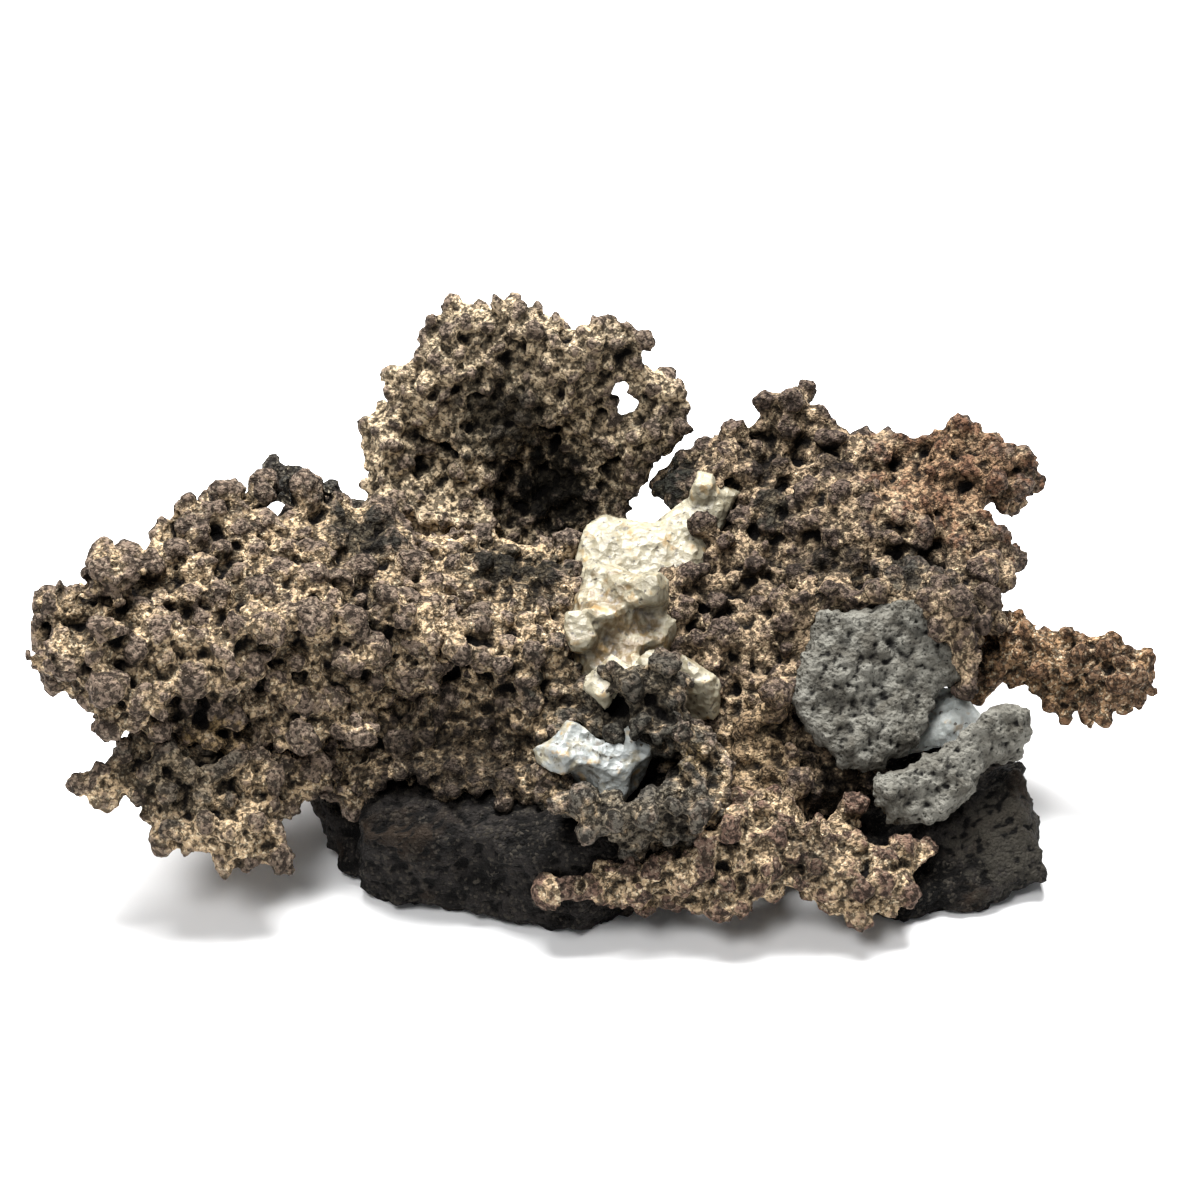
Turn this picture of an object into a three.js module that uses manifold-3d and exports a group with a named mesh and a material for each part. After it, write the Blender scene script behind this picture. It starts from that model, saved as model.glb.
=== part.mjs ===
// A native silver specimen on dark rock, with white calcite between its branches, in millimetres, +Z up.
// The silver has grown as knobbly branches: a standing crest at the back, two club-shaped lobes on the left,
// a broad wing with an arm on the right and a ragged apron in front, which meet in a central knot.
// Two grey sulphide plates lie on the wing, and the whole stands on the flat underside of the dark rock.
import * as THREE from "three";
import { mergeVertices } from "three/addons/utils/BufferGeometryUtils.js";
import Module from "manifold-3d";

const wasm = await Module();
wasm.setup();

// The specimen is laid out as the eye sees it: right and rise in the plane that faces the eye, near towards it.
const EYE_ABOVE_HORIZON = THREE.MathUtils.degToRad(35);
const EYE_DISTANCE = 320;
// Height of the middle of that plane above the table.
const MIDDLE_HEIGHT = 13;
// How much wider each piece is cut out of its neighbours than it is, all round.
const CLEARANCE = 0.4;
// Sides of a branch, and the step between its rings as a share of its radius.
const BRANCH_SIDES = 6;
const RING_STEP = 1.1;
// How far a branch's blunt tips reach beyond its ends, as a share of its radius.
const TIP_REACH = 0.8;
// How uneven branches and single lumps are, as a share of their radius.
const BRANCH_WARP = 0.6;
const LUMP_WARP = 0.2;
// The smallest detail kept where lumps meet.
const FINEST_DETAIL = 0.3;

const FINISHES = {
  silver: { color: 0x84705c, roughness: 0.55, metalness: 0.6 },
  sulphide: { color: 0x6a6862, roughness: 0.6, metalness: 0.4 },
  calcite: { color: 0xe4dfcd, roughness: 0.5, metalness: 0 },
  rock: { color: 0x2f2c29, roughness: 0.8, metalness: 0.1 },
};

// Each piece of silver: branches as [radius at the start, radius at the tip, points of its path from the start on],
// single lumps as [right, rise, near, radius], and the openings that one sees through, as [right, rise, radius].
const SILVER = {
  central_knot: {
    branches: [
      [3.2, 2.2, [-21, 4.4, -1], [-15.6, 3.2, 1], [-9.6, 3.6, 0], [-4, 3, 0], [0.6, 3.2, 0]],
      [3.4, 2.2, [-19, 0.6, 4], [-13, 0, 5], [-7.6, 0.6, 5], [-3.4, 1.4, 3]],
      [3.2, 2.4, [-13, -4, 9], [-9.6, -3.6, 11], [-6, -4.4, 10.5], [-3, -5.6, 10], [-2, -8, 10]],
      [2.8, 2.4, [-14, -8, 8], [-10, -8.4, 9.5], [-6, -8.6, 10], [-3, -10, 11]],
      [3.6, 2.6, [-18, -14, 10], [-12.6, -13.4, 11], [-7, -15, 12.5]],
      [3, 3, [-24, -12.6, 9], [-19, -13, 9]],
      [2.6, 2.2, [-0.4, -9.2, 11], [3.6, -9.4, 13.5], [7.6, -11, 13.5]],
      [2.4, 2.7, [-2.6, -16, 15.5], [0, -17, 16.5], [4.4, -17.8, 17.5], [8.4, -16.4, 16]],
      [2.4, 2.4, [7.6, -11, 13.5], [8.6, -16, 15.5]],
      [1.4, 1.1, [3, -9, 12], [3.2, -6.2, 9.5]],
    ],
    lumps: [
      [-13, -1, 0, 7.4],
      [-6, -3.4, 3, 7.4],
      [-11, -10, 6.4, 6.4],
      [2, -12, 7.4, 6.4],
      [-18.4, -8.4, 8, 4],
      [-1.6, -2.8, 8, 1.7],
      [5.4, -7.8, 11.4, 1.4],
      [7.4, -12.9, 15.4, 1.4],
    ],
    openings: [],
  },
  crest: {
    branches: [
      [2.8, 1.9, [-15, 6.6, -5], [-17.4, 10.6, -5], [-15.9, 15, -4], [-15.4, 18.4, -3]],
      [3.4, 2.6, [-11.6, 12.6, -6], [-13.6, 15.6, -4], [-12.4, 19.2, -2]],
      [1.6, 0.8, [-11.6, 20.6, -1.5], [-14.1, 22.9, -1]],
      [3, 2.2, [-9.8, 5.4, -6], [-10.4, 10.6, -5], [-8.2, 16.4, -4], [-8.6, 20, -3], [-7.4, 23.4, -1]],
      [2.7, 2.1, [-6.4, 14.4, -4.5], [-4.2, 18.4, -3], [-5.4, 22.2, -1]],
      [2.8, 2.1, [-4.2, 16, -4], [-0.8, 19.4, -2], [0.8, 22.3, -1]],
      [2.3, 1.3, [-2.6, 16.6, -3], [1.6, 18.4, -3], [6.2, 16.3, -3]],
      [2.1, 1.9, [-1.4, 12.6, -6], [3, 13.2, -4], [6.4, 14, -3]],
      [1.7, 1.3, [4.2, 12.8, -4], [3.4, 9.4, -4.5]],
      [2, 1.5, [-1, 12.6, -6], [-0.2, 8.6, -6.5], [2, 6.6, -6]],
      [2.9, 2.8, [-4.4, 14, -8], [-2.4, 9, -10], [-3, 4.6, -9]],
      [2.8, 2.4, [-18, 7.4, -4], [-14, 6.8, -4], [-9.6, 6, -4.4]],
    ],
    lumps: [
      [3, 20.8, -1, 1.6],
      [-10.6, 22.6, -1.6, 1.9],
      [-13.6, 9.6, -8.6, 3],
      [-2.8, 19, -2, 2.6],
      [-6.4, 5.4, -8.6, 3.4],
      [-6.6, 12.8, -6, 2.6],
    ],
    openings: [
      [-5.4, 10.4, 1.3],
      [-11.7, 9.2, 0.7],
      [2, 10.6, 0.7],
      [1, 14.2, 0.7],
    ],
  },
  left_lobe: {
    branches: [
      [4.4, 3.1, [-15, -3, 8], [-19.2, -3, 11], [-26.4, -3.4, 14], [-34.4, -4.4, 17], [-43.6, -4.6, 19.5]],
      [3.8, 2.8, [-18, 4, 3], [-23, 5, 5.5], [-28.4, 4.6, 9], [-34, 2.2, 13], [-39.6, -0.4, 17]],
      [3.6, 2.8, [-16, 0.6, 6], [-22, 0.8, 10], [-30, -0.4, 13.5], [-37, -2, 17]],
      [3.6, 2.6, [-20, -8, 12], [-25.6, -9.6, 13], [-30.6, -10.8, 13]],
      [3.6, 3.2, [-22, -6, 12], [-13.8, -3.6, 10]],
      [2.5, 2.2, [-36.4, -8.2, 18], [-41, -7, 19.2]],
    ],
    lumps: [
      [-29.6, -7, 9.5, 4.6],
      [-34.8, 4, 11, 1.9],
      [-30.8, 6, 6, 1.8],
      [-27.8, 7.8, 6, 1.5],
      [-41.6, -1, 18, 1.8],
      [-29.2, -11.6, 15, 1.8],
      [-33.6, -9, 13.6, 3],
    ],
    openings: [],
  },
  lower_left_lobe: {
    branches: [
      [3.4, 2, [-22.5, -13.5, 11], [-28, -14.4, 13.5], [-34, -14, 16.5], [-41.2, -14.7, 19]],
      [2.8, 2.4, [-26, -17, 14], [-30, -18.6, 16.5], [-35, -17.6, 18]],
      [2.7, 2.4, [-25.4, -19.4, 15.5], [-30, -20, 17.5]],
      [2.2, 1.8, [-34, -12.4, 16], [-39, -13, 18]],
    ],
    lumps: [],
    openings: [],
  },
  back_spur: {
    branches: [
      [2.4, 1.7, [-18.4, 5.6, -9], [-22, 6.8, -8.5], [-25.2, 8, -8]],
      [1.7, 1.4, [-25.2, 8, -8], [-25.7, 10.8, -8]],
      [1.3, 0.8, [-23.4, 7.6, -8], [-20.8, 8.7, -8.5]],
    ],
    lumps: [],
    openings: [],
  },
  wing: {
    branches: [
      [3, 2.3, [7.4, 3, 0], [9.4, 8.4, -3], [9.8, 13.6, -5]],
      [3.4, 1.9, [8, 3.6, 0], [13.4, 7, -2], [15.4, 11, -3.5], [15, 16.2, -4.4]],
      [3.2, 2.2, [12, 5, 0], [19.4, 8, -1.5], [22.4, 12.2, -3], [27.4, 12.6, -2.5]],
      [3.2, 2.1, [12, 3, 1], [20.6, 5.2, 1], [27, 8.6, 0], [33.3, 10.6, -0.5]],
      [3.2, 2.1, [7.4, 0.6, 2], [14, 0.8, 3], [21, 2.2, 3], [27.4, 4.2, 3], [33.2, 3, 3]],
      [3.2, 2.8, [7.4, -3.6, 4], [13.6, -2.4, 5], [20, -1.4, 4.5], [25.6, 0.2, 4], [31.2, -1.2, 6]],
      [3.2, 2.6, [8.4, -4.4, 5], [10, -9.6, 8], [13, -13.8, 10], [15.4, -16, 11.6]],
      [2.2, 2, [10, 9, -2.5], [5.4, 9.6, -4]],
      [2, 1.6, [22, 8.6, -1], [27.6, 9.4, -0.5], [30, 13, -1.5]],
      [1.6, 1.2, [6.4, 0.2, 4], [4.2, -0.6, 6.8], [2.6, 0.6, 6.6]],
    ],
    lumps: [
      [18.8, 12.6, -3.6, 2.8],
      [13, 8, -6, 6],
      [23, 9, -5, 6],
      [15, -1, -3, 7],
      [24, -2, 0, 7],
      [16.4, -9.4, 6, 5],
      [19, -14, 8, 3.6],
    ],
    openings: [],
  },
  right_arm: {
    branches: [
      [3, 2.7, [28, -4.8, 3], [33, -4.4, 4], [38, -5, 6], [43.4, -6.8, 8]],
      [2, 1.3, [31, -2.4, 3], [35.6, -3.2, 5], [40.2, -3.2, 7]],
      [1.7, 1.2, [35, -6.4, 5], [38, -9.2, 6]],
      [1.5, 1.2, [41.6, -7.6, 8], [40.4, -9.7, 9]],
    ],
    lumps: [[30.9, -7.2, 4.4, 1.5]],
    openings: [],
  },
  apron: {
    branches: [
      [2.8, 3.2, [-4.2, -21.2, 14.5], [0.8, -20.4, 15.5], [7.2, -20.4, 17], [14.4, -20.6, 17]],
      [2.2, 2, [-4.4, -22.6, 16.4], [0.6, -22.2, 17]],
      [2.8, 2.2, [3.2, -22.4, 16], [8, -23, 17], [12.4, -23.6, 17.4]],
      [3, 2.2, [15.6, -19.6, 16.5], [18.4, -22.6, 17], [21.4, -23.8, 16.6], [24.6, -22.4, 15]],
      [2.6, 1.5, [18.8, -20.4, 14.5], [23.6, -20.4, 13.6], [27.2, -19.6, 12.6]],
      [3, 3, [11.2, -17.4, 14], [15.2, -18, 14.5]],
      [1.7, 1.9, [19.4, -19.8, 14], [20, -16.4, 11.2]],
    ],
    lumps: [],
    openings: [],
  },
};

// Slabs as the eye sees them: the outline, how near the face's middle is, how that changes to the right and upwards,
// and the thickness away from the eye.
const PLATES = {
  upper_plate: {
    outline: [
      [16.8, -3.2], [17.6, -1], [20, -0.4], [24.4, 0.2], [28.8, -1.2], [29.8, -3.6], [29.4, -6.4], [27, -9],
      [24.6, -12.4], [22.4, -14], [19.8, -13.4], [16.4, -10.6], [14.8, -8], [15.4, -6.2],
    ],
    face: 11.5,
    slope: [-0.12, -0.2],
    thickness: 3.4,
  },
  lower_plate: {
    outline: [
      [21.6, -14.4], [24.2, -13.4], [27, -11.4], [30.8, -8.6], [32.6, -7.4], [34.8, -8.2], [35.2, -9.4],
      [34, -12.6], [31.6, -13.6], [29.8, -15.4], [27.8, -17.8], [25.4, -18.4], [23, -17.8], [21.8, -16],
    ],
    face: 13.2,
    slope: [-0.2, -0.1],
    thickness: 3,
  },
};

const CALCITE = {
  calcite_heart: {
    outline: [
      [-5.6, 1.4], [-2.2, 2.4], [-1.2, 6], [0.6, 6.8], [4.4, 6], [8.8, 9.4], [11.4, 8.6], [9, 4],
      [6.6, -2], [7.4, -5.4], [8.6, -9.4], [5, -9.6], [1.6, -8.6], [-1.4, -6.4], [-3.4, -2.4],
    ],
    face: 5,
    slope: [-0.1, -0.42],
    thickness: 5,
  },
  calcite_front: {
    outline: [
      [-4.6, -13], [-3.4, -10.6], [-1.8, -10.2], [1, -11.6], [4.2, -11.6], [3.2, -15.4], [1.6, -16.2], [-1.8, -14.8],
    ],
    face: 14.6,
    slope: [0, -0.3],
    thickness: 4,
  },
  calcite_side: {
    outline: [[12.2, -7.6], [14.4, -6.4], [22, -6], [28.8, -7], [30.8, -9.4], [28, -11.6], [24, -12.6], [15, -9.4]],
    face: 8.6,
    slope: [0.06, -0.15],
    thickness: 4,
  },
};

const ROCK_SLABS = [
  {
    outline: [
      [22, -21.2], [26, -16], [28.6, -14.8], [32.6, -13], [33.8, -13.4], [34.6, -16], [35.6, -19.6], [36, -22.4],
      [32.8, -23.4], [30.8, -24.8], [27, -24.6], [24.4, -26.4], [22, -25.6],
    ],
    face: 11.4,
    slope: [0, -0.42],
    thickness: 4,
  },
  {
    outline: [[-24, -14.6], [-22.4, -18], [-20.4, -20.6], [-21, -21.6], [-19, -22], [-6, -21], [-5, -15]],
    face: 9.4,
    slope: [0.1, -0.3],
    thickness: 3.4,
  },
];
// The rock's plan on the table, its height, and the shorter ledge under the wing.
const ROCK_PLAN = [
  [-18.4, -22.4], [-14, -23.6], [-9, -24.2], [-5.4, -26.2], [-2, -26.6], [3, -24.6], [7, -21], [9, -12],
  [10, 0], [4, 7], [-8, 8], [-15, 2], [-18, -8],
];
const ROCK_HEIGHT = 8.4;
const LEDGE_PLAN = [
  [4, -20], [12, -16.5], [20, -19], [27, -20.6], [33.6, -17.4], [34, -10], [30, -1], [20, 5], [6, 4],
];
const LEDGE_HEIGHT = 3.6;
const ROCK_CHAMFER = 0.9;
// How far the broken surfaces of the rock wander, and where cracks run up its front.
const ROCK_UNEVEN = 1.1;
const ROCK_CRACKS = [[-10.6, -24.2], [-3.2, -26.7]];
const CRACK_WIDTH = 1;

// A small repeatable random source, so that every build gives the same specimen.
function randomFrom(seed) {
  let state = seed;
  return () => {
    state = (Math.imul(state, 1664525) + 1013904223) >>> 0;
    return (state >>> 8) / 2 ** 24;
  };
}

// A point as the eye sees it, turned into the specimen's frame, with the table at height 0.
function seen([right, rise, near]) {
  const shrink = 1 - near / EYE_DISTANCE;
  const sin = Math.sin(EYE_ABOVE_HORIZON);
  const cos = Math.cos(EYE_ABOVE_HORIZON);
  return new THREE.Vector3(
    right * shrink,
    rise * shrink * sin - near * cos,
    rise * shrink * cos + near * sin + MIDDLE_HEIGHT,
  );
}

function bareCopy(geometry) {
  const bare = geometry.clone();
  bare.deleteAttribute("normal");
  bare.deleteAttribute("uv");
  return mergeVertices(bare, 1e-4);
}

function solidOf(geometry) {
  const bare = bareCopy(geometry);
  return new wasm.Manifold(
    new wasm.Mesh({
      numProp: 3,
      vertProperties: bare.attributes.position.array,
      triVerts: new Uint32Array(bare.index.array),
    }),
  );
}

function movePoints(geometry, move) {
  const position = geometry.attributes.position;
  const point = new THREE.Vector3();
  for (let i = 0; i < position.count; i++) {
    move(point.fromBufferAttribute(position, i));
    position.setXYZ(i, point.x, point.y, point.z);
  }
  return geometry;
}

// An uneven crystal lump with flat faces. grow makes the same lump bigger all round, as in every function below.
function lump([right, rise, near, radius], random, grow) {
  const geometry = bareCopy(new THREE.IcosahedronGeometry(1, 0));
  const turn = new THREE.Matrix4().makeRotationY(Math.PI * random());
  movePoints(geometry.applyMatrix4(turn), (point) => {
    point.multiplyScalar(radius * (1 + LUMP_WARP * (random() - 0.5)) + grow);
  });
  const centre = seen([right, rise, near]);
  return solidOf(geometry.translate(centre.x, centre.y, centre.z));
}

// A knobbly branch: a capsule bent along its path, with every point of its rings moved in or out.
function branch([thick, thin, ...path], random, grow) {
  const curve = new THREE.CatmullRomCurve3(path.map(seen));
  const rings = Math.max(2, Math.round(curve.getLength() / (RING_STEP * (thick + thin) / 2)));
  const { tangents, normals, binormals } = curve.computeFrenetFrames(rings);
  const geometry = bareCopy(new THREE.CapsuleGeometry(1, rings, 1, BRANCH_SIDES, rings));
  movePoints(geometry, (point) => {
    const along = point.y + rings / 2;
    const ring = Math.round(THREE.MathUtils.clamp(along, 0, rings));
    const beyond = along < 0 ? along : Math.max(along - rings, 0);
    const radius = THREE.MathUtils.lerp(thick, thin, ring / rings);
    const reach = radius * (1 + BRANCH_WARP * (random() - 0.5)) + grow;
    const { x, z } = point;
    point.copy(curve.getPointAt(ring / rings));
    point.addScaledVector(binormals[ring], x * reach).addScaledVector(normals[ring], z * reach);
    point.addScaledVector(tangents[ring], beyond * TIP_REACH * reach);
  });
  return solidOf(geometry);
}

// A pin along the line of sight, to open a piece where one sees through it.
function sightPin([right, rise, radius]) {
  const far = seen([right, rise, -40]);
  const close = seen([right, rise, 40]);
  const geometry = new THREE.CylinderGeometry(radius, radius, far.distanceTo(close), 5);
  const turn = new THREE.Quaternion().setFromUnitVectors(
    new THREE.Vector3(0, 1, 0),
    close.clone().sub(far).normalize(),
  );
  const middle = far.lerp(close, 0.5);
  return solidOf(geometry.applyQuaternion(turn).translate(middle.x, middle.y, middle.z));
}

function silverPiece({ branches, lumps, openings }, random, grow) {
  const whole = wasm.Manifold.union([
    ...branches.map((spec) => branch(spec, random, grow)),
    ...lumps.map((spec) => lump(spec, random, grow)),
  ]);
  return openings.length && !grow ? whole.subtract(wasm.Manifold.union(openings.map(sightPin))) : whole;
}

function shapeOf(outline) {
  return new THREE.Shape(outline.map(([x, y]) => new THREE.Vector2(x, y)));
}

// An extruded outline whose rims are chamfered inwards.
function chamfered(outline, thickness, chamfer, grow) {
  return bareCopy(
    new THREE.ExtrudeGeometry(shapeOf(outline), {
      depth: thickness - 2 * chamfer,
      bevelThickness: chamfer + grow,
      bevelSize: chamfer + grow,
      bevelOffset: -chamfer,
      bevelSegments: 1,
    }),
  );
}

// A slab laid out as the eye sees it.
function slab({ outline, face, slope, thickness }, grow) {
  const chamfer = thickness / 4;
  const centre = new THREE.Box2().setFromPoints(shapeOf(outline).getPoints()).getCenter(new THREE.Vector2());
  const geometry = chamfered(outline, thickness, chamfer, grow);
  movePoints(geometry, (point) => {
    const lean = slope[0] * (point.x - centre.x) + slope[1] * (point.y - centre.y);
    point.copy(seen([point.x, point.y, face - thickness + chamfer + lean + point.z]));
  });
  return solidOf(geometry);
}

// A block that stands on the table on a plan, uneven all over but for its underside.
function block(plan, height, grow) {
  const random = randomFrom(5);
  const geometry = chamfered(plan, height, ROCK_CHAMFER, grow).translate(0, 0, ROCK_CHAMFER);
  movePoints(geometry, (point) => {
    if (point.z < ROCK_CHAMFER / 2) return;
    point.x += ROCK_UNEVEN * (random() - 0.5);
    point.y += ROCK_UNEVEN * (random() - 0.5);
    point.z += point.z > height / 2 ? ROCK_UNEVEN * (random() - 0.5) : 0;
  });
  return solidOf(geometry);
}

function crack([x, y]) {
  const geometry = new THREE.BoxGeometry(CRACK_WIDTH, CRACK_WIDTH, 4 * ROCK_HEIGHT);
  return solidOf(geometry.rotateZ(Math.PI / 4).translate(x, y, 0));
}

// The dark rock, cut off flat where it stands.
function rockPiece(grow) {
  const below = solidOf(new THREE.BoxGeometry(200, 200, 50).translate(0, 0, -25));
  const whole = wasm.Manifold.union([
    block(ROCK_PLAN, ROCK_HEIGHT, grow),
    block(LEDGE_PLAN, LEDGE_HEIGHT, grow),
    ...ROCK_SLABS.map((spec) => slab(spec, grow)),
  ]);
  return whole.subtract(wasm.Manifold.union([below, ...(grow ? [] : ROCK_CRACKS.map(crack))]));
}

// What is left of a piece once its neighbours are cut out of it: its largest body.
function largestBody(solid) {
  return solid.decompose().sort((a, b) => b.volume() - a.volume())[0];
}

function meshOf(name, solid, finish) {
  const { numProp, vertProperties, triVerts } = solid.getMesh();
  const geometry = new THREE.BufferGeometry();
  geometry.setAttribute("position", new THREE.BufferAttribute(vertProperties, numProp));
  geometry.setIndex(new THREE.BufferAttribute(triVerts, 1));
  geometry.computeVertexNormals();
  const mesh = new THREE.Mesh(geometry, new THREE.MeshStandardMaterial(finish));
  mesh.name = name;
  return mesh;
}

// Each piece in the order in which they claim their room, as a function of how much bigger to make it.
const pieces = [
  ["dark_rock", FINISHES.rock, rockPiece],
  ...Object.entries(PLATES).map(([name, spec]) => [name, FINISHES.sulphide, (grow) => slab(spec, grow)]),
  ...Object.entries(CALCITE).map(([name, spec]) => [name, FINISHES.calcite, (grow) => slab(spec, grow)]),
  ...Object.entries(SILVER).map(([name, spec], i) => [
    name,
    FINISHES.silver,
    (grow) => silverPiece(spec, randomFrom(17 + i), grow),
  ]),
];

const specimen = new THREE.Group();
let taken = [];
for (const [name, finish, make] of pieces) {
  const whole = make(0);
  const free = taken.length ? whole.subtract(wasm.Manifold.union(taken)) : whole;
  specimen.add(meshOf(name, largestBody(free.simplify(FINEST_DETAIL)), finish));
  taken = [...taken, make(CLEARANCE)];
}

// The origin is under the middle of the specimen, on the table.
const middle = new THREE.Box3().setFromObject(specimen).getCenter(new THREE.Vector3());
specimen.position.set(-middle.x, -middle.y, 0);

export default specimen;
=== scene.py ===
"""A native silver specimen on dark rock, dressed for a studio picture.

Each mineral of the specimen is grown from its plain solid: nodules of silver spread over the branches and
fused with them, broken faces on the rock and the calcite, pits in the two grey plates. Sizes are in
millimetres where a name or a comment says so, and in metres once they reach Blender.
"""
import logging
import math
from dataclasses import dataclass, field
from enum import Enum
from functools import lru_cache
from typing import Any, ClassVar

import bmesh
import bpy
from mathutils import Euler, Matrix, Vector
from mathutils.bvhtree import BVHTree


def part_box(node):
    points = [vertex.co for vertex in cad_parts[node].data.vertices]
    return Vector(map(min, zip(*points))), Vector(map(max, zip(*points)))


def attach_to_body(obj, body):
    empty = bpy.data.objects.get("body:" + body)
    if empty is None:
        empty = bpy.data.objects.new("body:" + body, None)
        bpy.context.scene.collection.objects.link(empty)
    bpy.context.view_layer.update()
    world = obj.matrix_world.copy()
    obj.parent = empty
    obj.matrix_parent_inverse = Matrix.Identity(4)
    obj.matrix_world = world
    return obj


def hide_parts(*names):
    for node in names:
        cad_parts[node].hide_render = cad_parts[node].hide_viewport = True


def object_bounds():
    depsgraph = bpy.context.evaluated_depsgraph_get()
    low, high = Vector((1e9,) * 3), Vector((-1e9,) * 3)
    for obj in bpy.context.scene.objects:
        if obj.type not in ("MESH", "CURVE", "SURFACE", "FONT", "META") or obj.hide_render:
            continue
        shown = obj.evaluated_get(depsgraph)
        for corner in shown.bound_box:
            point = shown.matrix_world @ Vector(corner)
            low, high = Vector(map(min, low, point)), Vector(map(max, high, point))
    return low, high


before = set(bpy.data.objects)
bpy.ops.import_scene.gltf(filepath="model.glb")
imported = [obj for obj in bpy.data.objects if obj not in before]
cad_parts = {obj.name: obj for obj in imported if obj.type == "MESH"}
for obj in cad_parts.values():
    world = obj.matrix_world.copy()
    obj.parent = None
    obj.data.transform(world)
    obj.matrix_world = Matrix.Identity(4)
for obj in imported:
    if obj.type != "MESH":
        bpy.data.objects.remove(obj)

CAD_LOW, CAD_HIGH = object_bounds()
LOG = logging.getLogger("specimen")

MM = 0.001
BODY = "root"
# Points closer than this are one point, in metres.
MERGE_DISTANCE = 1e-6
# Nodules come in two levels, and this many places to a square metre are tried for them.
LEVELS = ("Large", "Small")
DENSEST = 8e6
# How much a nodule is narrowed or widened along each of its axes.
SQUEEZE = (0.7, 1.25)
# The levels of a rough surface: chips, and two sizes of grains.
ROUGHNESS = ("Broken", "Coarse", "Fine")
# The waves to a metre of the noise by which the outlines of the grains stray.
STRAY_WAVES = 700.0
# What is measured on a rough surface. The first two are heights over its smoothed self, by the rounds of
# smoothing that this takes.
ROUNDS = {"relief": 3, "swell": 45}
MEASURES = (*ROUNDS, "shelter")
# The cells of a branch before its nodules grow, and of a broken lump before it is chipped, in millimetres.
BODY_CELL = 0.5
# From how far off a point looks for the piece's own surface, how far it looks, both in millimetres, and how
# its looks lean from its normal.
OFF = 0.1
SIGHT = 7.0
LOOKS = ((0.9, 0, 0), (-0.9, 0, 0), (0, 0.9, 0), (0, -0.9, 0), (0, 0, 0.9), (0, 0, -0.9))

# The waves of the noise that tears a tinted patch, and how far it reaches, in millimetres.
TORN_WAVES = 2.5
TORN_REACH = 3.0

# What may carry the lumps of the crest, the left lobe, the lower one, the wing's rim, the front calcite, the
# calcite between the banks of silver, and the knot.
CREST = ("crest",)
LOBE = ("left_lobe",)
LOBES = ("lower_left_lobe", "left_lobe")
RIM = ("upper_plate", "wing")
FRONT = ("calcite_front", "central_knot")
BANKS = ("central_knot", "wing", "calcite_heart")
KNOT = ("calcite_heart", "calcite_front", "central_knot", "apron", "dark_rock")

# Blender's names of the nodes that are used most, and their usual settings.
MATH = "ShaderNodeMath"
VECTOR = "ShaderNodeVectorMath"
NOISE = "ShaderNodeTexNoise"
CELLS = "ShaderNodeTexVoronoi"
RANGE = "ShaderNodeMapRange"
MIX = "ShaderNodeMix"
SMOOTH = {"interpolation_type": "SMOOTHSTEP"}
COLOUR = {"data_type": "RGBA", "clamp_factor": True}


class Slot(Enum):
    """The four minerals of the record, by their material slots."""

    SILVER = "tarnished_silver"
    SULPHIDE = "grey_sulphide"
    CALCITE = "white_calcite"
    ROCK = "dark_rock"


def linear(hex_colour: str) -> tuple[float, float, float, float]:
    """Turns an sRGB colour into the linear one that a shader takes.

    Args:
        hex_colour: six hexadecimal digits, such as "c8af87".

    Returns:
        Red, green, blue and alpha, each from 0 to 1.
    """
    shares = [int(hex_colour[i:i + 2], 16) / 255 for i in (0, 2, 4)]
    red, green, blue = (s / 12.92 if s <= 0.04045 else ((s + 0.055) / 1.055) ** 2.4 for s in shares)
    return red, green, blue, 1.0


def add(
    tree: bpy.types.NodeTree, kind: str, inputs: dict[str | int, Any] | None = None, **settings: Any,
) -> Any:
    """Adds a node, with its settings, its values and its links.

    Args:
        tree: the node tree that gets the node.
        kind: Blender's name of the node's type.
        inputs: for each input, by name or number, a value, or the node or socket that feeds it.
        settings: the node's own properties.

    Returns:
        The new node.
    """
    node = tree.nodes.new(kind)
    for name, value in settings.items():
        setattr(node, name, value)
    for key, value in (inputs or {}).items():
        if isinstance(value, bpy.types.Node):
            value = next(socket for socket in value.outputs if socket.enabled)
        if isinstance(value, bpy.types.NodeSocket):
            tree.links.new(value, node.inputs[key])
        else:
            node.inputs[key].default_value = value
    return node


def geometry_tree(name: str, sizes: dict[str, str]) -> tuple[bpy.types.NodeTree, Any]:
    """Starts a geometry node tree that takes a mesh and named sizes.

    Args:
        name: the tree's name.
        sizes: for each further input, its kind of socket, such as "Float".

    Returns:
        The tree and its input node.
    """
    tree = bpy.data.node_groups.new(name, "GeometryNodeTree")
    tree.interface.new_socket("Geometry", in_out="INPUT", socket_type="NodeSocketGeometry")
    for label, kind in sizes.items():
        tree.interface.new_socket(label, in_out="INPUT", socket_type=f"NodeSocket{kind}")
    tree.interface.new_socket("Geometry", in_out="OUTPUT", socket_type="NodeSocketGeometry")
    return tree, add(tree, "NodeGroupInput")


def end_tree(tree: bpy.types.NodeTree, geometry: bpy.types.Node, material: bpy.types.NodeSocket) -> None:
    """Ends a tree with real meshes that wear the material.

    Args:
        tree: the tree to end.
        geometry: what it has made.
        material: the material that it puts on.
    """
    real = add(tree, "GeometryNodeRealizeInstances", {"Geometry": geometry})
    dressed = add(tree, "GeometryNodeSetMaterial", {"Geometry": real.outputs[0], "Material": material})
    add(tree, "NodeGroupOutput", {"Geometry": dressed.outputs[0]})


def attach(obj: bpy.types.Object, tree: bpy.types.NodeTree, values: dict[str, Any]) -> None:
    """Puts a geometry node tree on an object, with its inputs set.

    Args:
        obj: the object that gets the modifier.
        tree: the tree that it runs.
        values: each input's value, by the input's name.
    """
    modifier = obj.modifiers.new(tree.name, "NODES")
    modifier.node_group = tree
    for item in tree.interface.items_tree:
        if item.in_out == "INPUT" and item.name in values:
            modifier[item.identifier] = values[item.name]


# Geometry trees


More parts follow.
